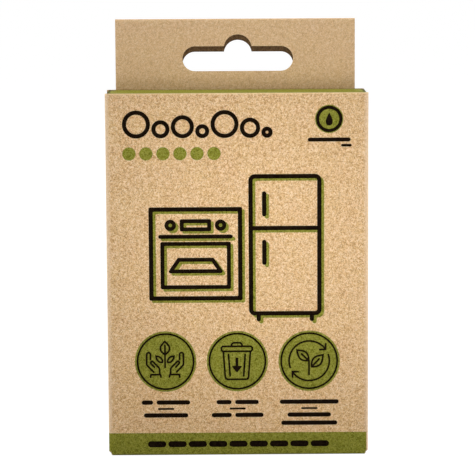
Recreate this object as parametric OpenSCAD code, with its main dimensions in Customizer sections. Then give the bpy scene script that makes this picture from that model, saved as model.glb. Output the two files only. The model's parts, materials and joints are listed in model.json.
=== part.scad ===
// Folding carton for cleaning tablets: a tuck-end box with a two-ply hang tab and six sachets inside.
// The box stands on its base. X runs along its width, -Y is the front, +Z is up, in millimetres.

/* [Carton] */
// Width of the front panel
pack_w = 75; // [70:1:90]
// Height from the base to the lid
pack_h = 105; // [100:1:130]
// Depth from the front face to the back face
pack_d = 15; // [14:0.5:18]
// Thickness of the kraft board
board = 0.5; // [0.4:0.05:0.55]
// Inner radius of each pressed fold
fold_r = 0.15; // [0.1:0.05:0.25]
// Line of glue between two glued plies
glue_line = 0.06; // [0.04:0.02:0.1]
// Width of the seam flap glued inside the right side
seam_w = 10; // [6:0.5:11]
// How far the ends of the seam flap slope back
seam_taper = 4; // [2:0.5:8]
// Width cut off each lower corner of the front panel
corner_cut_w = 0.9; // [0.7:0.1:1.5]
// Height cut off each lower corner of the front panel
corner_cut_h = 1.3; // [0.9:0.1:2]

/* [Hang tab] */
// Height of the tab above the lid
tab_h = 20.4; // [19:0.2:28]
// Distance of the tab's edges inside the carton's sides
tab_inset = 2.9; // [2:0.1:8]
// Sideways shift of the tab in the blank
tab_shift = -0.3; // [-1:0.1:1]
// Width of the hang slot from end to end
slot_w = 32; // [26:0.5:36]
// Height of the hang slot beside its bump
slot_h = 7.2; // [6:0.2:8]
// Height of the slot's lower edge above the lid
slot_z = 5.3; // [4:0.1:7]
// Sideways shift of the slot from the middle of the tab
slot_shift = 0.75; // [-1.5:0.25:1.5]
// Width of the round bump over the slot
bump_w = 8.1; // [7:0.1:10]
// Height of the bump above the slot
bump_h = 3.4; // [2.8:0.1:3.6]
// How much lower the rear ply's slot lies
ply_step = 1.6; // [0.4:0.1:2]

/* [Lid and flaps] */
// Gap between each end of the lid and the carton's side
lid_side_gap = 0.6; // [0.4:0.1:1]
// Length of the tuck flaps
tuck_len = 8; // [7:0.5:8.5]
// How much narrower a tuck flap is than its lid, at each end
tuck_inset = 1; // [0.8:0.1:3]
// Radius of the tuck flaps' free corners
tuck_corner = 6; // [2:0.5:6.5]
// Clearance between a tuck flap and the panel that it slides behind
tuck_gap = 0.35; // [0.32:0.01:0.4]
// Share of the lid's turn that the tuck flap turns with
tuck_lag = 0.2; // [0.16:0.01:0.22]
// Clearance at each hinged crease
crease_gap = 0.06; // [0.04:0.01:0.1]
// Clearance between the lid and the dust flaps under it
flap_gap = 0.15; // [0.1:0.05:0.3]
// Length of the dust flaps
dust_len = 18; // [12:1:26]
// Slope of the dust flaps' ends
dust_taper = 2.5; // [1:0.5:4]
// Notch at each end of a dust flap's fold
dust_notch = 0.5; // [0.3:0.1:1]
// Clearance between a swinging tuck flap and the dust flaps beside it
dust_clear = 0.5; // [0.4:0.1:1]

/* [Sachets] */
// Gap between the sachets and the carton's sides
sachet_side = 3.6; // [2:0.2:8]
// Headroom over the sachets
headroom = 2; // [1.5:0.5:4]
// Gap between neighbouring sachets
sachet_gap = 0.25; // [0.15:0.05:0.5]
// Thickness of a sealed edge, which is two layers of paper
seal_t = 0.3; // [0.2:0.05:0.4]
// Width of the sealed edges
seal_w = 5; // [3:0.5:8]
// Diameter of a tablet
tablet_d = 26; // [20:1:30]

/* [Print] */
// Thickness of the printed ink
ink = 0.04; // [0.02:0.01:0.08]
// Height of the green band along the foot of the front
band_h = 6.6; // [4:0.2:7]
// Bare strip beside the band at the right edge
band_bare = 0; // [0:0.1:1.5]
// Stroke width of the large line drawings
line_w = 1.25; // [0.9:0.05:1.35]
// Stroke width of the fine rings and rules
hair_w = 0.35; // [0.2:0.05:0.5]
// Offset of the green copy of the drawings to the right
shadow_x = 0.74; // [0.3:0.02:1]
// Offset of the green copy of the drawings downwards
shadow_z = 0.66; // [0.3:0.02:1]
// Radius of the green discs
disc_r = 8.85; // [7:0.05:9.5]
// Distance between the discs' centres
disc_pitch = 20.7; // [20:0.1:21.5]
// Height of the discs' centres
disc_z = 27.6; // [26:0.2:29]
// Sideways shift of the print
print_shift = -0.2; // [-0.6:0.1:0.6]
// Bare rim of each disc outside its fine ring
disc_rim = 0.6; // [0.4:0.1:1.2]
// Width of the oven drawing
oven_w = 26.8; // [24:0.2:27]
// Height of the oven drawing
oven_h = 27; // [25:0.2:28]
// Height of the oven's foot above the base
oven_z = 45.4; // [43:0.2:47]
// Distance of the oven's left side from the middle of the front
oven_x = -25.4; // [-27:0.2:-24.4]
// Width of the fridge drawing
fridge_w = 20.9; // [18:0.1:21]
// Height of the fridge drawing
fridge_h = 40.9; // [38:0.1:41]
// Height of the fridge's body above the base
fridge_z = 40.9; // [40:0.1:42]
// Distance of the fridge's left side from the middle of the front
fridge_x = 3.2; // [3:0.1:4]
// Distance of the heading ornament from the left edge
head_x = 4.8; // [3:0.2:8]
// Distance of the heading ornament's foot from the top edge
head_z = 12.8; // [12:0.2:14]
// Radius of each dot in the row under the heading
dot_r = 1.9; // [1.2:0.1:2.1]
// Distance between those dots
dot_pitch = 4.85; // [4.4:0.05:5]
// Radius of the round badge at the upper right
badge_r = 3.8; // [3:0.1:4.4]
// Stroke of the badge's dark ring
badge_w = 0.95; // [0.6:0.05:1.1]
// Green rim outside the badge's dark ring
badge_rim = 0.25; // [0.15:0.05:0.4]
// Distance of the badge's centre from the right edge
badge_x = 11.2; // [9:0.1:14]
// Distance of the badge's centre from the top edge
badge_z = 7.5; // [6:0.1:9]
// Height of the drop in the badge
drop_h = 3.8; // [2.6:0.1:4]
// Length of the bar under the badge
label_w = 12.2; // [8:0.1:14]
// Height of the bar under the badge
label_h = 1.1; // [0.8:0.05:1.3]
// Distance of that bar from the badge's centre
label_z = 5.9; // [5.4:0.1:6.6]
// Height of the small bars under the discs
bar_h = 1.25; // [0.8:0.05:1.5]
// Stroke of the heading's bubbles
ring_w = 1.2; // [0.7:0.1:1.2]
// Space between the heading's bubbles
ring_space = 0.35; // [0.2:0.05:0.6]
// Distance of the dots under the foot of the heading
dot_z = 4.4; // [4:0.1:5]

/* [Drawings] */
// Stroke of the lines inside the oven
fine_w = 1.15; // [0.8:0.05:1.2]
// Distance of the knobs' centres from the oven's sides
knob_in = 6.2; // [5.8:0.1:6.6]
// Distance of the knobs' centres from the oven's top
knob_z = 5.2; // [4.8:0.1:5.4]
// Radius of the knobs
knob_r = 1.65; // [1.5:0.05:1.8]
// Width of the oven's display
display_w = 9; // [7:0.1:9.2]
// Height of the oven's display
display_h = 3.5; // [3:0.1:3.6]
// Height of the oven's control panel
panel_h = 8.5; // [8.2:0.1:8.8]
// Distance of the oven's window from its sides and its foot
window_in = 3.3; // [3:0.1:4]
// Height of the oven's window
window_h = 13.7; // [12:0.1:14]
// Width of the baking tray at its foot
tray_w = 16.5; // [14:0.1:17]
// Width of the baking tray at its top
tray_top = 10.3; // [8:0.1:11]
// Height of the baking tray
tray_h = 4.5; // [4:0.1:5]
// Height of the baking tray above the oven's foot
tray_z = 7.9; // [7.7:0.1:8.6]
// Corner radius of the fridge
fridge_r = 1.8; // [0.6:0.1:2.2]
// Height of the line between the fridge's doors, as a share of its height
fridge_split = 0.62; // [0.58:0.01:0.66]
// Distance of the handles from the fridge's left side
handle_in = 4.5; // [4:0.1:6]
// Length of the fridge's handles
handle_len = 6; // [4:0.1:7]
// Distance of the handles from the line between the doors
handle_gap = 4; // [3:0.1:5]
// Height of the fridge's feet
foot_h = 1.7; // [1.4:0.1:2]
// Distance of the feet from the fridge's sides
foot_in = 2.8; // [2.4:0.1:4]
// Distance of the first caption bar from its disc's centre
caption_z = 12; // [11.4:0.1:13]
// Distance between a caption's first two bars
caption_lead = 3.8; // [3.2:0.1:4]
// Distance between its other bars
caption_step = 2.4; // [2.2:0.1:2.6]
// Space between two words in a caption bar
word_space = 1; // [0.6:0.1:1.4]
// Width of the short rule between the captions' first two bars
rule_w = 4.2; // [3:0.1:6]
// Length of the row of dashes in the band
dash_row = 53; // [40:1:60]
// Height of a dash
dash_h = 1.8; // [1:0.1:2]
// Length of a dash, as a share of the distance between two
dash_share = 0.6; // [0.5:0.05:0.7]

/* [Hidden] */
$fn = 48;
eps = 0.5;
lap = 0.2;

kraft = [0.80, 0.69, 0.52];
olive = [0.50, 0.50, 0.24];
dark_ink = [0.13, 0.10, 0.07];
sachet_paper = [0.93, 0.92, 0.88];

// Folds and the planes that the panels lie in
r_out = fold_r + board;
half_w = pack_w / 2;
front_y = -pack_d / 2;
back_y = pack_d / 2;
lid_w = pack_w - 2 * lid_side_gap;
tuck_w = lid_w - 2 * tuck_inset;

// Front face of the tab's front ply, and the crease where the lid begins
ply_y = back_y - 2 * board - glue_line;
lid_crease_y = ply_y - fold_r;
base_crease_y = front_y + r_out;
// Outer faces of the tuck flaps
tuck_y = front_y + board + tuck_gap;
base_tuck_y = back_y - board - tuck_gap;

// Levels of the dust flaps, which lie just inside the lid and the base
dust_top = pack_h - board - flap_gap;
dust_foot = board + flap_gap;
// A tuck flap swings back by this much before it is clear of the dust flaps
swing_r = lid_crease_y - tuck_y - board;
exit_turn = asin((tuck_len - flap_gap) / swing_r);
exit_shift = swing_r * (1 - cos(exit_turn)) - tuck_len * sin(tuck_lag * exit_turn);
dust_cut = tuck_gap + board + exit_shift + dust_clear;
seam_clear = 3 * board + flap_gap + r_out;

tab_w = pack_w - 2 * tab_inset;
bump_r = bump_w / 2;
slot_x = tab_shift + slot_shift;

// Six sachets: three from front to back, on two levels
layers = 3;
levels = 2;
sachet_w = pack_w - 2 * board - 2 * sachet_side;
inner_h = pack_h - 4 * board - 2 * flap_gap;
sachet_h = (inner_h - headroom) / levels - sachet_gap;
layer_pitch = (pack_d - 2 * board) / layers;
sachet_t = layer_pitch - sachet_gap;

// Print: the bubbles' radii, half the lengths of the caption bars, the share of each bar at which its second
// word begins, the small bar under the badge's label, with its height and drop as shares of the label's
// height, and the number of dashes
title_rings = [4, 2.6, 3.3, 2, 4, 2.9, 1.6];
caption_halves = [[7, 6.4], [6.1, 7.5], [8.5, 6.3, 8.1]];
word_starts = [[0.27, 1], [0.4, 0.42], [1, 1, 1]];
sub_label = [3.4, 6.4];
sub_label_share = 0.7;
sub_label_drop = 1.5;
dashes = 9;
sharp_r = 0.5;

// A bent strip of board around the Z axis, from the direction q quarter turns after X on through turns
// more quarters. Each tail is a short straight end that lies inside the panel next to it.
module bend(len, inner, q, tails, turns = 1) {
    outer = inner + board;
    rotate([0, 0, 90 * q]) linear_extrude(len) {
        intersection() {
            difference() {
                circle(r = outer);
                circle(r = inner);
            }
            translate([turns > 1 ? -outer - eps : 0, 0]) square([turns * (outer + eps), outer + eps]);
        }
        if (tails[0] > 0) translate([inner, -lap]) square([board, lap]);
        if (tails[1] > 0) rotate(90 * turns) translate([inner, 0]) square([board, lap]);
    }
}

module fold_x(x, len, y, z, q, tails, inner = fold_r, turns = 1) {
    translate([x - len / 2, y, z]) rotate([90, 0, 90]) bend(len, inner, q, tails, turns);
}

module fold_y(x, y0, y1, z, q) {
    translate([x, y1, z]) rotate([90, 0, 0]) bend(y1 - y0, fold_r, q, [1, 1]);
}

module fold_z(x, y, z0, z1, q, tails = [1, 1]) {
    translate([x, y, z0]) bend(z1 - z0, fold_r, q, tails);
}

// A board that stands across the depth: its outline is drawn in x and z, its front face lies at y
module wall_xz(y) {
    translate([0, y + board, 0]) rotate([90, 0, 0]) linear_extrude(board) children();
}

module box_between(low, high) {
    translate(low) cube(high - low);
}

// Outline of the hang slot: a bar with round ends and a round bump, with its foot at z
module slot_outline(z) {
    end_r = slot_h / 2;
    translate([slot_x, z]) {
        translate([-slot_w / 2 + end_r, 0]) square([slot_w - slot_h, slot_h]);
        for (side = [-1, 1]) translate([side * (slot_w / 2 - end_r), end_r]) circle(r = end_r);
        translate([0, slot_h + bump_h - bump_r]) circle(r = bump_r);
    }
}

module front_panel() {
    wall_xz(front_y) polygon([
        [-half_w + corner_cut_w, r_out], [half_w - corner_cut_w, r_out],
        [half_w - r_out, corner_cut_h], [half_w - r_out, pack_h],
        [-half_w + r_out, pack_h], [-half_w + r_out, corner_cut_h]
    ]);
    fold_x(0, pack_w - 2 * corner_cut_w, base_crease_y, r_out, 2, [1, 0]);
    fold_z(-half_w + r_out, front_y + r_out, corner_cut_h, pack_h, 2);
    fold_z(half_w - r_out, front_y + r_out, corner_cut_h, pack_h, 3);
}

module back_panel() {
    seam_x = half_w - board - glue_line - r_out;
    box_between([-half_w + r_out, back_y - board, 0], [seam_x, back_y, pack_h]);
    fold_z(-half_w + r_out, back_y - r_out, 0, pack_h, 1);
    fold_z(seam_x, back_y - r_out, 0, seam_clear, 0, [0, 1]);
    fold_z(seam_x, back_y - r_out, seam_clear, pack_h - seam_clear, 0);
    fold_z(seam_x, back_y - r_out, pack_h - seam_clear, pack_h, 0, [0, 1]);
    // Seam flap, glued inside the right side
    translate([seam_x + fold_r, 0, 0]) rotate([90, 0, 90]) linear_extrude(board) polygon([
        [back_y - r_out, seam_clear], [back_y - r_out, pack_h - seam_clear],
        [back_y - r_out - seam_w, pack_h - seam_clear - seam_taper],
        [back_y - r_out - seam_w, seam_clear + seam_taper]
    ]);
}

// One side with its two dust flaps, drawn for the right side; rear_y is where the panel ends
module side_panel(rear_y) {
    x = half_w - r_out;
    box_between([half_w - board, front_y + r_out, dust_foot + r_out],
                [half_w, rear_y, dust_top - r_out]);
    y0 = tuck_y + r_out + dust_notch;
    y1 = back_y - r_out - dust_notch;
    fold_y(x, y0, y1, dust_top - r_out, 0);
    fold_y(x, -y1, -y0, dust_foot + r_out, 3);
    translate([0, 0, dust_top - board]) linear_extrude(board) dust_outline(x, y1);
    translate([0, 0, dust_foot]) linear_extrude(board) rotate(180) mirror([1, 0]) dust_outline(x, y1);
}

// Outline of a dust flap from above, cut back at the front for the tuck flap that swings past it
module dust_outline(x, y1) {
    cut_y = front_y + board + dust_cut;
    polygon([
        [x, cut_y], [x, y1], [x - dust_taper, y1],
        [x - dust_len + dust_taper, y1 - dust_taper / 2],
        [x - dust_len, y1 - 1.5 * dust_taper],
        [x - dust_len, cut_y + dust_taper], [x - dust_len + dust_taper, cut_y]
    ]);
}

// The rear ply goes on up from the back panel, folds over the top and comes down as the front ply
module hang_tab() {
    top_inner = glue_line / 2;
    top_z = pack_h + tab_h - top_inner - board;
    top_y = back_y - board - top_inner;
    left = tab_shift - tab_w / 2;
    wall_xz(back_y - board) difference() {
        translate([left, pack_h - board]) square([tab_w, top_z - pack_h + board]);
        slot_outline(pack_h + slot_z - ply_step);
    }
    wall_xz(ply_y) difference() {
        translate([left, pack_h + fold_r]) square([tab_w, top_z - pack_h - fold_r]);
        slot_outline(pack_h + slot_z);
    }
    fold_x(tab_shift, tab_w, top_y, top_z, 0, [1, 1], top_inner, 2);
    fold_x(tab_shift, tab_w, lid_crease_y, pack_h + fold_r, 3, [0, 1]);
}

module carton() {
    color(kraft) {
        front_panel();
        back_panel();
        side_panel(back_y);
        mirror([1, 0, 0]) side_panel(back_y - r_out);
        hang_tab();
    }
}

module lid() {
    color(olive) {
        rear = lid_crease_y - crease_gap;
        cut = lid_w / 2 - tab_w / 2;
        translate([0, 0, pack_h - board]) linear_extrude(board) polygon([
            [-lid_w / 2, tuck_y + r_out], [lid_w / 2, tuck_y + r_out],
            [lid_w / 2, rear - cut], [tab_w / 2, rear], [-tab_w / 2, rear], [-lid_w / 2, rear - cut]
        ]);
        fold_x(0, lid_w, tuck_y + r_out, pack_h - r_out, 1, [1, 0]);
    }
}

module bottom_flap() {
    color(olive) {
        fore = base_crease_y + crease_gap;
        cut = corner_cut_w;
        linear_extrude(board) polygon([
            [-lid_w / 2, base_tuck_y - r_out], [lid_w / 2, base_tuck_y - r_out],
            [lid_w / 2, fore + cut], [lid_w / 2 - cut, fore], [-lid_w / 2 + cut, fore], [-lid_w / 2, fore + cut]
        ]);
        fold_x(0, lid_w, base_tuck_y - r_out, r_out, 3, [1, 0]);
    }
}

// Outline of a tuck flap that hangs down from z = 0, with two round free corners
module tuck_outline() {
    difference() {
        translate([-tuck_w / 2, -tuck_len]) square([tuck_w, tuck_len - crease_gap]);
        for (side = [-1, 1]) translate([side * (tuck_w / 2 - tuck_corner), -tuck_len + tuck_corner])
            difference() {
                translate([side > 0 ? 0 : -tuck_corner - eps, -tuck_corner - eps])
                    square(tuck_corner + eps);
                circle(r = tuck_corner);
            }
    }
}

module tuck_flap() {
    color(kraft) wall_xz(tuck_y) translate([0, pack_h - r_out]) tuck_outline();
}

module bottom_tuck_flap() {
    color(kraft) wall_xz(base_tuck_y - board) translate([0, r_out]) mirror([0, 1]) tuck_outline();
}

// A flat paper sachet, sealed all round, drawn tight over one round tablet
module sachet() {
    inner_w = sachet_w - 2 * seal_w;
    inner_h2 = sachet_h - 2 * seal_w;
    rim = 0.25 * sachet_t;
    translate([-sachet_w / 2, -seal_t / 2, 0]) cube([sachet_w, seal_t, sachet_h]);
    translate([0, 0, sachet_h / 2]) hull() {
        cube([inner_w, seal_t, inner_h2], center = true);
        rotate([90, 0, 0]) {
            cylinder(d = tablet_d, h = sachet_t - 2 * rim, center = true, $fn = 32);
            cylinder(d = tablet_d - 2 * rim, h = sachet_t, center = true, $fn = 32);
        }
    }
}

// Sachets are counted from the front, first the lower level and then the upper one
module sachet_at(index) {
    layer = index % layers;
    level = floor(index / layers);
    color(sachet_paper) translate([
        0, front_y + board + layer_pitch * (layer + 0.5),
        dust_foot + board + sachet_gap / 2 + level * (sachet_h + sachet_gap)
    ]) sachet();
}

// Prints a flat drawing on the front face
module on_front() {
    translate([0, front_y, 0]) rotate([90, 0, 0]) linear_extrude(ink) children();
}

// A straight stroke with round ends
module stroke(a, b, w) {
    turn = atan2(b[1] - a[1], b[0] - a[0]);
    steps = 8;
    polygon(concat(
        [for (i = [0:steps]) b + w / 2 * [cos(turn - 90 + 180 * i / steps), sin(turn - 90 + 180 * i / steps)]],
        [for (i = [0:steps]) a + w / 2 * [cos(turn + 90 + 180 * i / steps), sin(turn + 90 + 180 * i / steps)]]
    ));
}

// Corner points of a rectangle with rounded corners
function round_rect(x, z, w, h, r, steps = 6) = [
    for (quarter = [0:3])
        let (side = quarter == 0 || quarter == 3 ? 1 : 0, level = quarter < 2 ? 1 : 0)
        for (i = [0:steps])
            let (turn = 90 * (quarter + i / steps))
            [x + r + side * (w - 2 * r) + r * cos(turn), z + r + level * (h - 2 * r) + r * sin(turn)]
];

// The outline of a rectangle, drawn as a stroke of width lw inside its size
module rect_line(x, z, w, h, r, lw) {
    difference() {
        polygon(round_rect(x, z, w, h, r));
        polygon(round_rect(x + lw, z + lw, w - 2 * lw, h - 2 * lw, max(r - lw, sharp_r / 2)));
    }
}

module ring_line(x, z, r, lw) {
    translate([x, z]) difference() {
        circle(r = r);
        circle(r = r - lw);
    }
}

// Corner points of the baking tray seen from the side, with all its edges moved in by m
function tray_points(m) = let (
        slope = (tray_w - tray_top) / 2 / tray_h,
        rim = m * norm([1, slope]),
        foot = tray_w / 2 - slope * m - rim,
        top = tray_top / 2 + slope * m - rim)
    [[-foot, m], [foot, m], [top, tray_h - m], [-top, tray_h - m]];

module oven_drawing() {
    mid = oven_x + oven_w / 2;
    top = oven_z + oven_h;
    knob_reach = oven_w / 2 - knob_in;
    rect_line(oven_x, oven_z, oven_w, oven_h, sharp_r, line_w);
    for (side = [-1, 1]) ring_line(mid + side * knob_reach, top - knob_z, knob_r, fine_w);
    rect_line(mid - display_w / 2, top - knob_z - display_h / 2, display_w, display_h, sharp_r, fine_w);
    stroke([oven_x + window_in, top - panel_h], [oven_x + oven_w - window_in, top - panel_h], fine_w);
    rect_line(oven_x + window_in, oven_z + window_in, oven_w - 2 * window_in, window_h, sharp_r, fine_w);
    tray = tray_points(fine_w / 2);
    translate([mid, oven_z + tray_z]) for (i = [0:3]) stroke(tray[i], tray[(i + 1) % 4], fine_w);
}

module fridge_drawing() {
    split_z = fridge_z + fridge_split * fridge_h;
    handle_x = fridge_x + handle_in;
    foot_z = fridge_z + line_w / 2;
    rect_line(fridge_x, fridge_z, fridge_w, fridge_h, fridge_r, line_w);
    translate([fridge_x + line_w / 2, split_z - line_w / 2]) square([fridge_w - line_w, line_w]);
    for (side = [-1, 1])
        translate([handle_x, split_z + side * handle_gap]) stroke([0, 0], [0, side * handle_len], line_w);
    for (x = [foot_in, fridge_w - foot_in])
        translate([fridge_x + x, foot_z]) stroke([0, 0], [0, -foot_h], line_w);
}

// Disc centres along the front
function disc_x(i) = print_shift + (i - 1) * disc_pitch;

// Corner points of a drop of height h around its middle, pointed at the top
function drop(h) = [
    for (turn = [0:9:351]) [0.36 * h * sin(turn) * pow(sin(turn / 2), 1.3), h / 2 * cos(turn)]
];

// Sum of the first n entries of a list
function sum_to(list, n) = n < 1 ? 0 : list[n - 1] + sum_to(list, n - 1);

// A row of bubbles in the heading's place
module bubble_row() {
    for (i = [0:len(title_rings) - 1])
        let (r = title_rings[i], left = 2 * sum_to(title_rings, i) + i * ring_space)
        ring_line(-half_w + head_x + left + r, pack_h - head_z + r, r, ring_w);
}

// A bar with round ends from x0 to x1
module bar(x0, x1, h) {
    stroke([x0 + h / 2, 0], [x1 - h / 2, 0], h);
}

// Plain bars in a caption's place, with a short rule between the first two
module caption(i) {
    translate([disc_x(i), disc_z - caption_z]) {
        for (k = [0:len(caption_halves[i]) - 1])
            let (half = caption_halves[i][k], start = (2 * word_starts[i][k] - 1) * half)
            translate([0, k > 0 ? -caption_lead - (k - 1) * caption_step : 0]) {
                if (start < half) {
                    bar(-half, start - word_space / 2, bar_h);
                    bar(start + word_space / 2, half, bar_h);
                } else bar(-half, half, bar_h);
            }
        translate([0, -caption_lead / 2]) square([rule_w, hair_w], center = true);
    }
}

// The badge's ring and drop, with two plain bars under it
module badge() {
    ring_line(0, 0, badge_r, badge_w);
    polygon(drop(drop_h));
    translate([0, -label_z]) bar(-label_w / 2, label_w / 2, label_h);
    translate([0, -label_z - sub_label_drop * label_h])
        bar(sub_label[0], sub_label[1], sub_label_share * label_h);
}

// Dashes in the band
module band_dashes() {
    step = dash_row / dashes;
    half = dash_share * step / 2;
    for (i = [0:dashes - 1])
        let (x = (i + 0.5) * step - dash_row / 2)
        stroke([x - half, band_h / 2], [x + half, band_h / 2], dash_h);
}

module dark_flat() {
    oven_drawing();
    fridge_drawing();
    bubble_row();
    for (i = [0:2]) {
        ring_line(disc_x(i), disc_z, disc_r - disc_rim, hair_w);
        caption(i);
    }
    band_dashes();
    translate([half_w - badge_x, pack_h - badge_z]) badge();
}

module green_flat() {
    translate([-half_w + r_out, r_out]) square([pack_w - 2 * r_out - band_bare, band_h - r_out]);
    for (i = [0:2]) translate([disc_x(i), disc_z]) circle(r = disc_r);
    for (i = [0:5])
        translate([-half_w + head_x + dot_r + i * dot_pitch, pack_h - head_z - dot_z]) circle(r = dot_r);
    translate([half_w - badge_x, pack_h - badge_z]) circle(r = badge_r + badge_rim);
    translate([shadow_x, -shadow_z]) {
        oven_drawing();
        fridge_drawing();
    }
}

module green_print() {
    color(olive) on_front() difference() {
        green_flat();
        dark_flat();
    }
}

module dark_print() {
    color(dark_ink) on_front() dark_flat();
}

carton();
lid();
tuck_flap();
bottom_flap();
bottom_tuck_flap();
green_print();
dark_print();
sachet_at(0);  // sachet_1
sachet_at(1);  // sachet_2
sachet_at(2);  // sachet_3
sachet_at(3);  // sachet_4
sachet_at(4);  // sachet_5
sachet_at(5);  // sachet_6
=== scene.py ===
import json
import math
import bpy
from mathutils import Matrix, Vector, noise
from mathutils.bvhtree import BVHTree


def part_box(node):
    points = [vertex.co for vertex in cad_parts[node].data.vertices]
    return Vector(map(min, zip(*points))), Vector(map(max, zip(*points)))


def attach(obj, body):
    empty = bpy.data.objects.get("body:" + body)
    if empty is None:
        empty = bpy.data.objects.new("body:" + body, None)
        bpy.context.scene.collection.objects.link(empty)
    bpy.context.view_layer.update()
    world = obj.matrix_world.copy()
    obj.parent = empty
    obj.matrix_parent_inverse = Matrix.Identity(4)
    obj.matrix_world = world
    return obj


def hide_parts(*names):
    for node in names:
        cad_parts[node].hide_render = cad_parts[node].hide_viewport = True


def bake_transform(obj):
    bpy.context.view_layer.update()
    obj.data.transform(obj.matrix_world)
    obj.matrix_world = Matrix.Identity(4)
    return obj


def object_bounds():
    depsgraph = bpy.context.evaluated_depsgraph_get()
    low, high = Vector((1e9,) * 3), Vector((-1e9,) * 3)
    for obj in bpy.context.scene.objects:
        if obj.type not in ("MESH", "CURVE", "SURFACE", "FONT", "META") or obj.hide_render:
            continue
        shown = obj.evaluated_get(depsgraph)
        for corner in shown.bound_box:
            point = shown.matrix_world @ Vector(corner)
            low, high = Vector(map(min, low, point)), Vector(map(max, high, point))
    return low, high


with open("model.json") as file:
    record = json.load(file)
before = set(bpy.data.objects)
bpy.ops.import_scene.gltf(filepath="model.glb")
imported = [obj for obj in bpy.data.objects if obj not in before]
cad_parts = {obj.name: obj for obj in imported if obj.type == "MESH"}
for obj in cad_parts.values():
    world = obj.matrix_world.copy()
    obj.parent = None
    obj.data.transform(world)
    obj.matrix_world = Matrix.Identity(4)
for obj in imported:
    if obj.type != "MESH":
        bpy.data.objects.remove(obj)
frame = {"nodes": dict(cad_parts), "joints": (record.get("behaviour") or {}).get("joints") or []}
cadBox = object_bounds()
mm = 0.001
print("frame loaded:", len(frame["nodes"]), "nodes")


def linear(hexText):
    # sRGB hex to linear RGBA
    parts = [int(hexText[i:i + 2], 16) / 255 for i in (1, 3, 5)]
    return tuple(p / 12.92 if p <= 0.04045 else ((p + 0.055) / 1.055) ** 2.4 for p in parts) + (1.0,)


def addNode(tree, kind, inputs=None, **settings):
    # one node with its settings; each input is a value, or the socket that feeds it
    made = tree.nodes.new(kind)
    for name, value in settings.items():
        setattr(made, name, value)
    for socket, value in (inputs or {}).items():
        if isinstance(value, bpy.types.NodeSocket):
            tree.links.new(value, made.inputs[socket])
        else:
            made.inputs[socket].default_value = value
    return made


pulp = {   # real pulp fibres are about 0.03 mm wide, too fine to show, so threads and grain are drawn coarser
    "threadLength": 1.1,            # mm
    "threadWidth": 0.19,
    "threadTurns": (12, 71, 128),   # degrees, the ways the threads lie
    "threadShift": (13.0, 7.0, 0.0),   # mm between one set of threads and the next, so that they differ
    "threadBend": 0.5,              # mm that a thread strays from a straight line
    "bendSize": 2.5,                # mm, the length over which it strays
    "darkNoise": (0.60, 0.655),     # noise values over which a dark thread fades in
    "paleNoise": (0.415, 0.33),     # and a pale one
    "threadRelief": 0.5,            # how much a dark thread stands out, beside the grain
    "grain": 0.26,                  # mm, fine grain between the threads
    "grainNoise": (0.38, 0.62),     # noise values over which the grain turns from dark to pale
    "grainRoughness": 0.6,
    "cloud": 7.0,                   # mm, slow change of tone across the sheet
}


def makePulp():
    # Dark and pale threads, grain, cloud and relief of an uncoated paper surface, as one group of nodes
    group = bpy.data.node_groups.new("pulpThreads", "ShaderNodeTree")
    for name in ("dark", "pale", "grain", "cloud", "relief"):
        group.interface.new_socket(name=name, in_out="OUTPUT", socket_type="NodeSocketFloat")
    place = addNode(group, "ShaderNodeTexCoord").outputs["Object"]
    stray = addNode(group, "ShaderNodeTexNoise",
                    {"Vector": place, "Scale": 1 / (pulp["bendSize"] * mm), "Detail": 1.0})
    centred = addNode(group, "ShaderNodeVectorMath", {0: stray.outputs["Color"], 1: (0.5, 0.5, 0.5)},
                      operation="SUBTRACT")
    bent = addNode(group, "ShaderNodeVectorMath",
                   {0: centred.outputs[0], 1: (2 * pulp["threadBend"] * mm,) * 3, 2: place},
                   operation="MULTIPLY_ADD")
    threadSize = [pulp[key] * mm for key in ("threadLength", "threadWidth", "threadWidth")]
    made = {}
    for k, turn in enumerate(pulp["threadTurns"]):
        moved = [k * shift * mm for shift in pulp["threadShift"]]
        along = addNode(group, "ShaderNodeMapping",
                        {"Vector": bent.outputs[0], "Location": moved, "Rotation": (0, math.radians(turn), 0),
                         "Scale": threadSize}, vector_type="TEXTURE")
        streak = addNode(group, "ShaderNodeTexNoise",
                         {"Vector": along.outputs[0], "Scale": 1.0, "Detail": 1.0})
        for name in ("dark", "pale"):
            start, full = pulp[name + "Noise"]
            shown = addNode(group, "ShaderNodeMapRange",
                            {"Value": streak.outputs[0], "From Min": start, "From Max": full}).outputs[0]
            if name in made:
                shown = addNode(group, "ShaderNodeMath", {0: made[name], 1: shown},
                                operation="MAXIMUM").outputs[0]
            made[name] = shown
    made["grain"] = addNode(group, "ShaderNodeTexNoise",
                            {"Vector": place, "Scale": 1 / (pulp["grain"] * mm), "Detail": 2.0,
                             "Roughness": pulp["grainRoughness"]}).outputs[0]
    made["cloud"] = addNode(group, "ShaderNodeTexNoise",
                            {"Vector": place, "Scale": 1 / (pulp["cloud"] * mm), "Detail": 3.0}).outputs[0]
    made["relief"] = addNode(group, "ShaderNodeMath",
                             {0: made["dark"], 1: pulp["threadRelief"], 2: made["grain"]},
                             operation="MULTIPLY_ADD").outputs[0]
    addNode(group, "NodeGroupOutput", made)
    return group


pulpThreads = makePulp()

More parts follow.
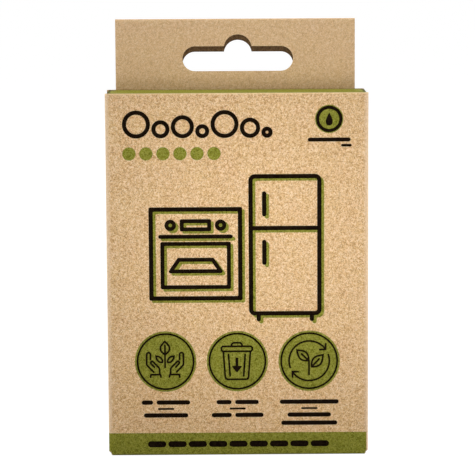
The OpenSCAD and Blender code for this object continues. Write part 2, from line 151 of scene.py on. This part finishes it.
inkLook = {"cloud": 0.8, "dark": 0.7, "pale": 0.55, "grain": 0.35}
papers = {   # relief in mm; look: how strongly the clouds, threads and grain show
    # Uncoated unbleached kraft liner: warm matt brown, alive with darker and paler pulp threads
    "kraftLiner": {
        "base": "#DDB081", "warm": "#DDB473", "dark": "#94632A", "pale": "#FFEECE",
        "look": {"cloud": 1.0, "dark": 0.6, "pale": 0.5, "grain": 0.235},
        "roughness": 0.9, "specular": 0.1, "relief": 0.018},
    # The board's inner liner: greyer and rougher brown, from recycled pulp
    "recycledLiner": {
        "base": "#8C6E4B", "warm": "#846543", "dark": "#634A2E", "pale": "#BCA078",
        "look": {"cloud": 0.9, "dark": 0.55, "pale": 0.4, "grain": 0.12},
        "roughness": 0.93, "specular": 0.2, "relief": 0.05},
    # The inner liner where the tab's two plies face each other: painted dark as the shade in the gap between
    # them, and a little smoother
    "paintedShadeTabLiner": {
        "base": "#5E452B", "warm": "#3A2918", "dark": "#2A1D10", "pale": "#8A6C48",
        "look": {"cloud": 0.5, "dark": 0.5, "pale": 0.3, "grain": 0.12},
        "roughness": 0.8, "specular": 0.2, "relief": 0.03},
    # A die-cut edge: loose plies of pulp, paler than the liner and streaked
    "dieCutEdge": {
        "base": "#D8B88A", "warm": "#B38F60", "dark": "#9A7A50", "pale": "#E8CFA4",
        "look": {"cloud": 1.0, "dark": 0.4, "pale": 0.5, "grain": 0.12},
        "roughness": 0.95, "specular": 0.15, "relief": 0.05},
    # Water-based green ink soaked into the liner: flat olive that lets the threads through
    "greenInkOnKraft": {
        "base": "#828424", "warm": "#7C7922", "dark": "#4C4E12", "pale": "#A9A850",
        "look": inkLook, "roughness": 0.85, "specular": 0.06, "relief": 0.018},
    # The same ink over the lid: painted paler as the sheen of its lit top face, and duller
    "greenLidInkPaintedSheen": {
        "base": "#8C8A36", "warm": "#87822E", "dark": "#4C4E12", "pale": "#A9A850",
        "look": inkLook, "roughness": 0.85, "specular": 0.02, "relief": 0.018},
    # Near-black brown ink: dense and dead matt, with a few pale threads left bare
    "darkInkOnKraft": {
        "base": "#0D0403", "warm": "#110805", "dark": "#050201", "pale": "#2A2014",
        "look": inkLook, "roughness": 0.85, "specular": 0.015, "relief": 0.018},
    # Bleached sachet paper with a thin sealing layer inside: smooth cool white with a faint sheen
    "heatSealPaper": {
        "base": "#EDEBE4", "warm": "#E9E5DB", "dark": "#D9D4C8", "pale": "#F6F4EE",
        "look": {"cloud": 0.6, "dark": 0.25, "pale": 0.3, "grain": 0.02},
        "roughness": 0.5, "specular": 0.4, "relief": 0.01},
}


def newMaterial(name):
    material = bpy.data.materials.new(name)
    material.use_nodes = True
    material.node_tree.nodes.clear()
    return material, material.node_tree


def paperColour(tree, threads, paper, bold=None):
    # the base with clouds of a warmer tone, and grain, dark threads and pale ones over it;
    # bold: the socket with the strength of these three, where that changes over the sheet
    colours = {key: linear(paper[key]) for key in ("base", "warm", "dark", "pale")}
    shares = {"grain": paper["look"]["grain"]}
    for name in ("cloud", "dark", "pale"):
        shares[name] = addNode(tree, "ShaderNodeMath", {0: threads.outputs[name], 1: paper["look"][name]},
                               operation="MULTIPLY").outputs[0]
    if bold is not None:
        for name in ("grain", "dark", "pale"):
            shares[name] = addNode(tree, "ShaderNodeMath", {0: bold, 1: shares[name]},
                                   operation="MULTIPLY").outputs[0]
    darkest, palest = pulp["grainNoise"]
    step = addNode(tree, "ShaderNodeMapRange",
                   {"Value": threads.outputs["grain"], "From Min": darkest, "From Max": palest})
    grain = addNode(tree, "ShaderNodeMix", {0: step.outputs[0], 6: colours["dark"], 7: colours["pale"]},
                    data_type="RGBA")
    tone = colours["base"]
    for name, colour in (("cloud", colours["warm"]), ("grain", grain.outputs[2]),
                         ("dark", colours["dark"]), ("pale", colours["pale"])):
        tone = addNode(tree, "ShaderNodeMix", {0: shares[name], 6: tone, 7: colour},
                       data_type="RGBA").outputs[2]
    return tone


def paperFinish(tree, threads, colour, paper):
    bump = addNode(tree, "ShaderNodeBump", {"Height": threads.outputs["relief"], "Strength": 1.0,
                                            "Distance": paper["relief"] * mm})
    shader = addNode(tree, "ShaderNodeBsdfPrincipled",
                     {"Base Color": colour, "Normal": bump.outputs[0], "Roughness": paper["roughness"],
                      "IOR": 1.5, "Specular IOR Level": paper["specular"]})
    addNode(tree, "ShaderNodeOutputMaterial", {"Surface": shader.outputs[0]})


board = {
    "thickness": 0.5,          # mm
    "foldHighlightReach": (36.0, 36.9),   # mm from the middle, where a painted highlight lies along the corner folds
    "foldHighlightTint": "#E4CBAF", "foldHighlightShare": 0.5,
    "topHighlightHigh": 0.5,           # mm, the painted highlight along the front's top edge
    "topHighlightTint": "#F3D7A8", "topHighlightShare": 0.8,
    "tabTint": "#E1C4A3", "tabShare": 0.3,
    "tabFoot": 105.2, "tabBold": 0.75,   # mm, where the tab begins, whose threads show less
    "tabMiddle": 6.97,         # mm, the glue between the tab's two plies
    "tabRound": 0.5, "tabLean": 0.2,   # mm, the round fold along the tab's top, and how far it looks up
    "bandTop": 6.6, "bandRight": 37.05, "bandBack": -6.8,   # mm, the reach of the green band on the carton
    "footShadeHigh": 0.45, "footShadeShare": 0.85,   # mm, the painted shade on the underside of the fold along the band's foot
    "lidEndShade": (35.9, 36.4),   # mm from the middle, where painted shade darkens the lid's ends at their gaps
    "skin": 0.01,              # mm under a face, where the measuring of the board behind it starts
    "edgeDepth": 1.3,          # a face with more board than this behind it, in thicknesses, is a cut edge
}
frontTop = max(v.co.z for v in frame["nodes"]["carton"].data.vertices if v.co.y < board["bandBack"] * mm) / mm
print("front's top edge at", round(frontTop, 3), "mm")


def kraftLiner():
    # The liner of the carton: paler on its tab, with painted highlights along the corner folds and along the
    # front's top edge, with the green band printed round the foot of the front and painted shade along the fold
    # at the band's foot
    paper, ink = papers["kraftLiner"], papers["greenInkOnKraft"]
    material, tree = newMaterial("kraftLiner")
    threads = addNode(tree, "ShaderNodeGroup", node_tree=pulpThreads)
    place = addNode(tree, "ShaderNodeTexCoord").outputs["Object"]
    x, y, z = addNode(tree, "ShaderNodeSeparateXYZ", {0: place}).outputs
    onTab = addNode(tree, "ShaderNodeMath", {0: z, 1: board["tabFoot"] * mm}, operation="GREATER_THAN")
    bold = addNode(tree, "ShaderNodeMapRange",
                   {"Value": onTab.outputs[0], "To Min": 1.0, "To Max": board["tabBold"]})
    tab = addNode(tree, "ShaderNodeMath", {0: onTab.outputs[0], 1: board["tabShare"]}, operation="MULTIPLY")
    # painted highlight along the corner folds
    side = addNode(tree, "ShaderNodeMath", {0: x}, operation="ABSOLUTE")
    foldFrom, foldTo = board["foldHighlightReach"]
    fold = addNode(tree, "ShaderNodeMapRange",
                   {"Value": side.outputs[0], "From Min": foldFrom * mm, "From Max": foldTo * mm,
                    "To Max": board["foldHighlightShare"]}, interpolation_type="SMOOTHSTEP")
    # painted highlight along the front's top edge
    topEdge = addNode(tree, "ShaderNodeMapRange",
                      {"Value": z, "From Min": (frontTop - board["topHighlightHigh"]) * mm, "From Max": frontTop * mm,
                       "To Max": board["topHighlightShare"]})
    onFront = addNode(tree, "ShaderNodeMath", {0: y, 1: board["bandBack"] * mm}, operation="LESS_THAN")
    topEdgeHighlight = addNode(tree, "ShaderNodeMath", {0: topEdge.outputs[0], 1: onFront.outputs[0]}, operation="MULTIPLY")
    kraft = paperColour(tree, threads, paper, bold.outputs[0])
    for share, tint in ((tab, "tabTint"), (fold, "foldHighlightTint"), (topEdgeHighlight, "topHighlightTint")):
        kraft = addNode(tree, "ShaderNodeMix", {0: share.outputs[0], 6: kraft, 7: linear(board[tint])},
                        data_type="RGBA").outputs[2]
    # painted shade on the underside of the fold along the band's foot
    foot = addNode(tree, "ShaderNodeMapRange",
                   {"Value": z, "From Min": board["footShadeHigh"] * mm, "From Max": 0.0,
                    "To Max": board["footShadeShare"]})
    green = addNode(tree, "ShaderNodeMix",
                    {0: foot.outputs[0], 6: paperColour(tree, threads, ink), 7: linear(ink["dark"])},
                    data_type="RGBA")
    band = onFront
    for axis, limit in ((z, "bandTop"), (x, "bandRight")):
        inside = addNode(tree, "ShaderNodeMath", {0: axis, 1: board[limit] * mm}, operation="LESS_THAN")
        band = addNode(tree, "ShaderNodeMath", {0: band.outputs[0], 1: inside.outputs[0]}, operation="MULTIPLY")
    printed = addNode(tree, "ShaderNodeMix", {0: band.outputs[0], 6: kraft, 7: green.outputs[2]},
                      data_type="RGBA")
    paperFinish(tree, threads, printed.outputs[2], paper)
    return material


def plainPaper(name, ends=None):
    # ends: from where to where, in mm to both sides of the middle, it turns to the dark threads' colour as
    # painted shade
    paper = papers[name]
    material, tree = newMaterial(name)
    threads = addNode(tree, "ShaderNodeGroup", node_tree=pulpThreads)
    colour = paperColour(tree, threads, paper)
    if ends:
        place = addNode(tree, "ShaderNodeTexCoord").outputs["Object"]
        axes = addNode(tree, "ShaderNodeSeparateXYZ", {0: place})
        side = addNode(tree, "ShaderNodeMath", {0: axes.outputs[0]}, operation="ABSOLUTE")
        share = addNode(tree, "ShaderNodeMapRange",
                        {"Value": side.outputs[0], "From Min": ends[0] * mm, "From Max": ends[1] * mm})
        colour = addNode(tree, "ShaderNodeMix", {0: share.outputs[0], 6: colour, 7: linear(paper["dark"])},
                         data_type="RGBA").outputs[2]
    paperFinish(tree, threads, colour, paper)
    return material


liner = kraftLiner()
innerLiner = plainPaper("recycledLiner")
tabShadeLiner = plainPaper("paintedShadeTabLiner")
cutEdge = plainPaper("dieCutEdge")
greenInk = plainPaper("greenInkOnKraft")
lidInkPaintedLight = plainPaper("greenLidInkPaintedSheen", board["lidEndShade"])
darkInk = plainPaper("darkInkOnKraft")
sealedPaper = plainPaper("heatSealPaper")
print("materials made")


def dressBoard(name, outerWay, outer):
    # Gives each face of a board piece its liner, inner liner or cut edge, by how thick the board is behind it
    # and which way it looks; an inner face above the tab's foot gets the liner painted dark as the shade between
    # the plies
    mesh = frame["nodes"][name].data
    mesh.materials.clear()
    for material in (outer, innerLiner, cutEdge, tabShadeLiner):
        mesh.materials.append(material)
    solid = BVHTree.FromPolygons([v.co for v in mesh.vertices], [p.vertices for p in mesh.polygons])
    for face in mesh.polygons:
        start = face.center - face.normal * board["skin"] * mm
        hit, _, _, depth = solid.ray_cast(start, -face.normal)
        if hit is None or depth > board["edgeDepth"] * board["thickness"] * mm:
            face.material_index = 2
        elif face.normal.dot(outerWay(face.center)) > 0:
            face.material_index = 0
        else:
            # index 3: the tab's inner liner, painted dark as the shade between its plies
            face.material_index = 3 if face.center.z > board["tabFoot"] * mm else 1


def dressPrint(name, material):
    mesh = frame["nodes"][name].data
    mesh.materials.clear()
    mesh.materials.append(material)


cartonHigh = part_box("carton")[1]


def cartonOuterWay(c):
    tabFoot = board["tabFoot"] * mm
    if c.z > tabFoot:   # the tab is folded over, so its outer faces look away from the glue
        up = board["tabLean"] * max(c.z - cartonHigh.z + board["tabRound"] * mm, 0)
        return Vector((0, c.y - board["tabMiddle"] * mm, up))
    return Vector((c.x / cartonHigh.x, c.y / cartonHigh.y, 2 * c.z / tabFoot - 1))


dressBoard("carton", cartonOuterWay, liner)
dressBoard("lid", lambda c: Vector((0, -1, 1)), lidInkPaintedLight)
dressBoard("bottom_flap", lambda c: Vector((0, 1, -1)), greenInk)
dressBoard("tuck_flap", lambda c: Vector((0, -1, 0)), liner)
dressBoard("bottom_tuck_flap", lambda c: Vector((0, 1, 0)), liner)
dressPrint("green_print", greenInk)
dressPrint("dark_print", darkInk)
print("board and print dressed")

creases = {
    "steps": 10,
    "lidHalf": 34.6, "baseHalf": 36.0,   # mm, half the length of the lid's and the base's crease
}


def addPiece(name, vertices, faces, material):
    mesh = bpy.data.meshes.new(name)
    mesh.from_pydata(vertices, [], faces)
    mesh.validate()
    mesh.materials.append(material)
    piece = bpy.data.objects.new(name, mesh)
    bpy.context.scene.collection.objects.link(piece)
    return piece


def addCrease(name, halfWide, ends, inward, material):
    # A strip of board that fills the gap of a crease. ends: y and z in mm of its outer
    # edge at the first panel and at the second; inward: the way from its outer face to its inner one
    vertices, faces = [], []
    steps = creases["steps"]
    through = [step * board["thickness"] for step in inward]
    for i in range(steps + 1):
        y, z = (a + (b - a) * (i / steps) for a, b in zip(*ends))
        for deep in (0, 1):
            for x in (-halfWide, halfWide):
                vertices.append((x * mm, (y + deep * through[0]) * mm, (z + deep * through[1]) * mm))
    for i in range(steps):
        o = 4 * i
        faces += [(o, o + 4, o + 5, o + 1), (o + 2, o + 3, o + 7, o + 6),
                  (o, o + 2, o + 6, o + 4), (o + 1, o + 5, o + 7, o + 3)]
    strip = addPiece(name, vertices, faces, material)
    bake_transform(strip)


hinge = {joint["name"]: [v / mm for v in joint["pos_m"]] for joint in frame["joints"]}
(_, _, lidFoot), (_, lidRear, lidTop) = ([v / mm for v in corner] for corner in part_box("lid"))
(_, tuckFront, _), (tuckHalf, _, tuckTop) = ([v / mm for v in corner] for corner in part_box("tuck_flap"))
(_, baseFore, _), (_, _, baseRoof) = ([v / mm for v in corner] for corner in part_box("bottom_flap"))
(_, _, baseTuckFoot), (_, baseTuckBack, _) = ([v / mm for v in corner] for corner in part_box("bottom_tuck_flap"))

addCrease("lid_crease", creases["lidHalf"],
          ((hinge["lid_hinge"][1], lidTop), (lidRear, lidTop)), (0, -1), lidInkPaintedLight)
addCrease("tuck_crease", tuckHalf,
          ((tuckFront, lidFoot), (tuckFront, tuckTop)), (1, 0), innerLiner)
addCrease("base_crease", creases["baseHalf"],
          ((hinge["bottom_hinge"][1], 0), (baseFore, 0)), (0, 1), greenInk)
addCrease("base_tuck_crease", tuckHalf,
          ((baseTuckBack, baseRoof), (baseTuckBack, baseTuckFoot)), (-1, 0), innerLiner)
print("creases made")

sachet = {
    "grid": 0.6,          # mm between the mesh points
    "inset": 0.06,        # mm that the paper stays inside the solid's front and back
    "seal": 4.6,          # mm, width of the crimped seal
    "seam": 0.1,          # mm, half the thickness of the seal
    "rib": 1.2,           # mm between two crimp ribs
    "ribDepth": 0.05,
    "tooth": 0.45,        # mm, depth of the pinked teeth on the upper and lower edge
    "tablet": 12.9,       # mm, radius of the tablet under the paper
    "tabletRound": 1.6,   # mm, how far the paper rounds over its rim
    "tabletRim": 1.75,    # mm, half the tablet's height at its rim
    "hollow": 1.35,       # how hollow the paper falls from the rim to the seal, where 1 is straight
    "wrinkle": 0.11,      # mm
    "wrinkles": 17,       # round the tablet
    "wrinkleFade": 3.0,   # mm from the tablet and from the seal, over which they fade in
    "wrinkleStray": 2.0, "strayScale": 0.15,   # how far the wrinkles stray sideways, and how often per mm
    "wrinkleStart": 3.1,  # how much further round the wrinkles start for each mm that a sachet lies deeper
}


def paperHalf(x, z, face, width, height, bulge, seed):
    # how far the paper stands from the sachet's middle plane: crimped seal, round tablet and what falls between
    fromSide, fromEnd = width / 2 - abs(x), height / 2 - abs(z)
    edge, seam, rim = min(fromSide, fromEnd), sachet["seam"], sachet["tabletRim"]
    if edge < sachet["seal"]:
        along = x if fromEnd < fromSide else z
        return seam + sachet["ribDepth"] / 2 * face * math.sin(2 * math.pi * along / sachet["rib"])
    inward, outward = edge - sachet["seal"], math.hypot(x, z) - sachet["tablet"]
    if outward < 0:
        rounding = max(outward + sachet["tabletRound"], 0) / sachet["tabletRound"]
        half = bulge - (bulge - rim) * rounding ** 2
    else:
        share = inward / (inward + outward + 1e-6)   # the last term keeps the division from 0 by 0
        half = seam + (rim - seam) * share ** sachet["hollow"]
    fade = min(inward / sachet["wrinkleFade"], 1) * min(max(outward, 0) / sachet["wrinkleFade"], 1)
    stray = noise.noise(Vector((x * sachet["strayScale"], z * sachet["strayScale"], seed)))
    turn = sachet["wrinkles"] * math.atan2(z, x) + seed + sachet["wrinkleStray"] * stray
    return min(max(half + sachet["wrinkle"] * fade * math.sin(turn), seam), bulge)


def addSachet(name):
    low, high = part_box(name)
    width, depth, height = ((b - a) / mm for a, b in zip(low, high))
    bulge = depth / 2 - sachet["inset"]
    centre = (low + high) / 2 / mm
    seed = centre.y * sachet["wrinkleStart"] + centre.z
    across, up = round(width / sachet["grid"]), round(height / sachet["grid"])
    vertices, faces = [], []
    for face in (-1, 1):
        for j in range(up + 1):
            for i in range(across + 1):
                x, z = (i / across - 0.5) * width, (j / up - 0.5) * height
                half = paperHalf(x, z, face, width, height, bulge, seed)
                if j in (0, up) and i % 2:
                    z -= math.copysign(sachet["tooth"], z)
                vertices.append(((centre.x + x) * mm, (centre.y + face * half) * mm, (centre.z + z) * mm))
    row, sheet = across + 1, (across + 1) * (up + 1)
    for j in range(up):
        for i in range(across):
            o = j * row + i
            faces.append((o, o + 1, o + row + 1, o + row))
            faces.append((sheet + o, sheet + o + row, sheet + o + row + 1, sheet + o + 1))
    rim = ([i for i in range(across + 1)] + [j * row + across for j in range(1, up + 1)]
           + [up * row + i for i in range(across - 1, -1, -1)] + [j * row for j in range(up - 1, 0, -1)])
    for a, b in zip(rim, rim[1:] + rim[:1]):
        faces.append((b, a, sheet + a, sheet + b))
    piece = addPiece(name + "_paper", vertices, faces, sealedPaper)
    piece.data.shade_smooth()
    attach(piece, "carton")
    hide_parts(name)


for index in range(1, 7):
    addSachet("sachet_%d" % index)
print("sachets made")

picture = {
    "line": 0.54,          # mm, stroke width
    "face": -7.542,        # mm, the front of the printed discs
    "film": 0.02,          # mm, how far the ink stands out from there
    "stack": 0.001,        # mm, how much further out each stroke lies, so that no two faces coincide
    "discs": (-20.9, -0.2, 20.5),   # mm, the discs' centres
    "discHeight": 27.6,    # mm, above the base
    "shift": (-0.15, -0.15, 0.0),   # mm, how far each picture sits beside its disc's centre
    "ring": 8.07,          # mm, radius of the fine ring round each picture
    "rule": (2.1, -13.9),  # mm, half the length of the caption's rule, and its height from the disc's centre
}


def arc(centreX, centreZ, radius, start, end, steps=20):
    turns = [math.radians(start + (end - start) * i / steps) for i in range(steps + 1)]
    return [(centreX + radius * math.cos(turn), centreZ + radius * math.sin(turn)) for turn in turns]


def leaf(x, z, length, width, turn, steps=12):
    # a closed leaf with its foot at x, z, which points at turn degrees
    side = [(length * i / steps, width / 2 * math.sin(math.pi * (i / steps) ** 0.9)) for i in range(steps + 1)]
    outline = side + [(a, -b) for a, b in side[-2:0:-1]]
    c, s = math.cos(math.radians(turn)), math.sin(math.radians(turn))
    return [(x + a * c - b * s, z + a * s + b * c) for a, b in outline]


def mirrored(strokes):
    return strokes + [([(-x, z) for x, z in points], closed) for points, closed in strokes]


def rounded(points, radius, steps=4):
    # an open line with its corners rounded
    made = [points[0]]
    for before, corner, after in zip(points, points[1:], points[2:]):
        c = Vector(corner)
        a, b = Vector(before) - c, Vector(after) - c
        cut = min(radius, a.length / 2, b.length / 2)
        a, b = c + a.normalized() * cut, c + b.normalized() * cut
        for i in range(steps + 1):
            t = i / steps
            made.append(tuple(a * (1 - t) ** 2 + c * 2 * t * (1 - t) + b * t * t))
    return made + [points[-1]]


def ribbon(points, closed, width):
    # outline points on both sides of a line, with mitred corners
    sides = []
    for i, point in enumerate(points):
        here, ways = Vector(point), []
        if closed or i > 0:
            ways.append((here - Vector(points[i - 1])).normalized())
        if closed or i < len(points) - 1:
            ways.append((Vector(points[(i + 1) % len(points)]) - here).normalized())
        way = sum(ways, Vector((0, 0))).normalized()
        normal = Vector((-way.y, way.x))
        reach = width / 2 / max(normal.dot(Vector((-ways[0].y, ways[0].x))), 0.5)
        sides.append((here + normal * reach, here - normal * reach))
    return sides


def roundEnds(sides):
    # adds the points of a half-round end to both ends of an open ribbon
    for at, step in ((0, -1), (-1, 1)):
        left, right = sides[at]
        mid, out = (left + right) / 2, (left - right) / 2
        way = Vector((out.y, -out.x)) * step
        cap = [(mid + out * math.cos(t) + way * math.sin(t), mid - out * math.cos(t) + way * math.sin(t))
               for t in (math.radians(30), math.radians(60))]
        sides = cap[::-1] + sides if at == 0 else sides + cap
    return sides


def addPicture(name, strokes, centreX):
    vertices, faces = [], []
    for index, (points, closed) in enumerate(strokes):
        front = picture["face"] - picture["film"] - picture["stack"] * index
        back = picture["face"] + picture["film"]
        sides = ribbon(points, closed, picture["line"])
        if not closed:
            sides = roundEnds(sides)
        base = len(vertices)
        for left, right in sides:
            for point in (left, right):
                for y in (front, back):
                    vertices.append(((centreX + point.x) * mm, y * mm, (picture["discHeight"] + point.y) * mm))
        spans = len(sides) if closed else len(sides) - 1
        for i in range(spans):
            a, b = base + 4 * i, base + 4 * ((i + 1) % len(sides))
            faces += [(a, a + 2, b + 2, b), (a + 1, b + 1, b + 3, a + 3),
                      (a, b, b + 1, a + 1), (a + 2, a + 3, b + 3, b + 2)]
        if not closed:
            a, b = base, base + 4 * (len(sides) - 1)
            faces += [(a, a + 1, a + 3, a + 2), (b, b + 2, b + 3, b + 1)]
    piece = addPiece(name, vertices, faces, darkInk)
    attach(piece, "carton")


# the pictures' strokes, as points in mm from the disc's centre, and whether each is closed
sprout = [
    ([(0, -1.7), (0, 4.8)], False),
    (leaf(0, 2.05, 3.85, 2.7, 90), True),
]
sideLeaf = [([(0.82, -0.22), (0.72, 0.1), (0.78, 0.45), (1.23, 1.15), (1.84, 1.5), (2.58, 1.6), (2.5, 0.97),
              (2.06, 0.25), (1.54, -0.16)], True)]
hand = [
    (rounded([(4.2, 0.65), (4.2, 2.35), (4.75, 2.75), (5.3, 2.35), (5.3, -0.95), (3.3, -3.05)], 0.3), False),
    (rounded([(3.08, -1.6), (4.25, -0.35), (3.75, 0.3), (1.6, -1.95), (1.55, -3.7)], 0.4), False),
    (rounded([(1.2, -4.5), (1.35, -3.8), (4.1, -3.8), (4.2, -4.55)], 0.15), False),
]
binFrame = [
    (rounded([(-3.9, 2.9), (-3.35, -4.8), (-2.95, -5.3), (2.95, -5.3), (3.35, -4.8), (3.9, 2.9)], 0.6), False),
    (rounded([(0, 2.9), (-4.1, 2.9), (-4.42, 3.25), (-4.42, 4.0), (-4.1, 4.35), (4.1, 4.35), (4.42, 4.0),
              (4.42, 3.25), (4.1, 2.9), (0, 2.9)], 0.5), False),
    (rounded([(-1.5, 4.4), (-1.5, 5.0), (-1.0, 5.4), (1.0, 5.4), (1.5, 5.0), (1.5, 4.4)], 0.4), False),
    ([(-2.4, 1.95), (-1.95, -4.3)], False),
    ([(2.4, 1.95), (1.95, -4.3)], False),
    ([(-0.14, 0.85), (-0.14, -2.2)], False),
    ([(0.14, 0.85), (0.14, -2.2)], False),
    ([(-1.1, -1.6), (0, -2.95), (1.1, -1.6)], False),
    ([(-0.6, -1.6), (0, -2.4), (0.6, -1.6)], False),
    ([(-0.8, -1.62), (0.8, -1.62)], False),
]
ringArrows = [
    (arc(0, 0, 5.8, 199, 41, 30), False),
    (arc(0, 0, 5.8, 18, -141, 30), False),
    ([(3.05, 3.25), (4.7, 3.35), (4.8, 4.95)], False),
    ([(-3.15, -3.2), (-4.85, -3.15), (-4.8, -4.75)], False),
    ([(-0.05, -4.05), (-0.05, -0.1)], False),
    (leaf(-0.15, 0.1, 4.5, 2.5, 138), True),
    ([(-0.6, 0.5), (-2.2, 2.05)], False),
    (leaf(0.75, -1.75, 4.75, 2.6, 47), True),
    ([(1.2, -1.25), (2.9, 0.55)], False),
]
pictures = {"sprout_picture": sprout + mirrored(sideLeaf) + mirrored(hand), "bin_picture": binFrame,
            "ring_picture": ringArrows}
ruleHalf, ruleHeight = picture["rule"]
for (name, strokes), centreX, shift in zip(pictures.items(), picture["discs"], picture["shift"]):
    ringAndRule = [(arc(-shift, 0, picture["ring"], 0, 355, 71), True),
                   ([(-ruleHalf - shift, ruleHeight), (ruleHalf - shift, ruleHeight)], False)]
    addPicture(name, strokes + ringAndRule, centreX + shift)
print("pictures made")

studio = {
    "floor": "#F2F1EE", "floorSize": 14.0, "backdropWhite": 0.972, "floorShade": 0.11,
    "floorGap": 0.05,    # mm under the carton
    "world": 0.25,
    "lampAim": (0, 0, 0.06),
    "softLamps": {       # place, size in metres and power in watts
        "rightLamp": ((0.8, 0.03, 0.3), 0.5, 3.3),
        "leftLamp": ((-0.8, 0.03, 0.3), 0.5, 3.3),
        "backLamp": ((0.0, 1.0, 0.45), 0.6, 4.2),
        "topLamp": ((0.0, 0.02, 0.7), 0.25, 1.9),
    },
    "spots": {           # place, the point it is aimed at, angle of the cone, radius and power in watts
        "frontSpot": ((0.03, -0.35, 0.05), (0.009, -0.0075, 0.064), 12, 0.04, 2.45),
        "highSpot": ((-0.03, -0.40, 0.30), (-0.001, -0.0075, 0.104), 28, 0.05, 1.83),
        "lowSpot": ((0.05, -0.32, 0.02), (0.022, -0.0075, 0.060), 40, 0.05, 1.15),
    },
}


def addLamp(name, kind, place, aim, power, **settings):
    data = bpy.data.lights.new(name, kind)
    data.energy = power
    for key, value in settings.items():
        setattr(data, key, value)
    lamp = bpy.data.objects.new(name, data)
    lamp.location = place
    lamp.rotation_euler = (Vector(aim) - Vector(place)).to_track_quat("-Z", "Y").to_euler()
    bpy.context.scene.collection.objects.link(lamp)


def seenDirectly(tree):
    # 1 for a ray that the camera, a gloss or a clear body sends, 0 for one that carries light
    path = addNode(tree, "ShaderNodeLightPath")
    either = path.outputs["Is Camera Ray"]
    for name in ("Is Glossy Ray", "Is Transmission Ray"):
        either = addNode(tree, "ShaderNodeMath", {0: either, 1: path.outputs[name]},
                         operation="MAXIMUM").outputs[0]
    return either


def whiteFloor():
    # Matt white paper sweep: shows white, keeps a faint shadow and throws soft light back
    material, tree = newMaterial("whiteSweep")
    glow = addNode(tree, "ShaderNodeEmission", {"Color": (1, 1, 1, 1), "Strength": studio["backdropWhite"]})
    thin = addNode(tree, "ShaderNodeBsdfDiffuse", {"Color": (studio["floorShade"],) * 3 + (1,)})
    shown = addNode(tree, "ShaderNodeAddShader", {0: glow.outputs[0], 1: thin.outputs[0]})
    solid = addNode(tree, "ShaderNodeBsdfDiffuse", {"Color": linear(studio["floor"])})
    chosen = addNode(tree, "ShaderNodeMixShader",
                     {0: seenDirectly(tree), 1: solid.outputs[0], 2: shown.outputs[0]})
    addNode(tree, "ShaderNodeOutputMaterial", {"Surface": chosen.outputs[0]})
    return material


floorHalf = studio["floorSize"] / 2
floorMesh = bpy.data.meshes.new("floor")
floorMesh.from_pydata([(x * floorHalf, y * floorHalf, 0) for x, y in ((-1, -1), (1, -1), (1, 1), (-1, 1))],
                      [], [(0, 1, 2, 3)])
floorMesh.materials.append(whiteFloor())
floor = bpy.data.objects.new("floor", floorMesh)
floor.location.z = cadBox[0].z - studio["floorGap"] * mm
bpy.context.scene.collection.objects.link(floor)

world = bpy.data.worlds.new("studio")
bpy.context.scene.world = world
world.use_nodes = True
world.node_tree.nodes.clear()
soft, plain = (addNode(world.node_tree, "ShaderNodeBackground", {"Color": (1, 1, 1, 1), "Strength": strength})
               for strength in (studio["world"], 1.0))   # as light, and as the white that is seen
both = addNode(world.node_tree, "ShaderNodeMixShader",
               {0: seenDirectly(world.node_tree), 1: soft.outputs[0], 2: plain.outputs[0]})
addNode(world.node_tree, "ShaderNodeOutputWorld", {"Surface": both.outputs[0]})

for name, (place, size, power) in studio["softLamps"].items():
    addLamp(name, "AREA", place, studio["lampAim"], power, size=size)
for name, (place, aim, angle, radius, power) in studio["spots"].items():
    addLamp(name, "SPOT", place, aim, power, spot_size=math.radians(angle), spot_blend=1.0,
            shadow_soft_size=radius)
print("lights made")

view = {
    "lens": 186.6, "sensor": 36.0,          # mm
    "place": (-0.0035, -0.706, 0.1592),
    "turn": (82.206, 0.307, -0.331),        # degrees, fitted to the photo
    "near": 0.01, "far": 50.0,
}
scene = bpy.context.scene
scene.view_settings.view_transform = "Standard"
cameraData = bpy.data.cameras.new("camera")
cameraData.lens, cameraData.sensor_width = view["lens"], view["sensor"]
cameraData.clip_start, cameraData.clip_end = view["near"], view["far"]
camera = bpy.data.objects.new("camera", cameraData)
camera.location = view["place"]
camera.rotation_euler = [math.radians(angle) for angle in view["turn"]]
scene.collection.objects.link(camera)
scene.camera = camera
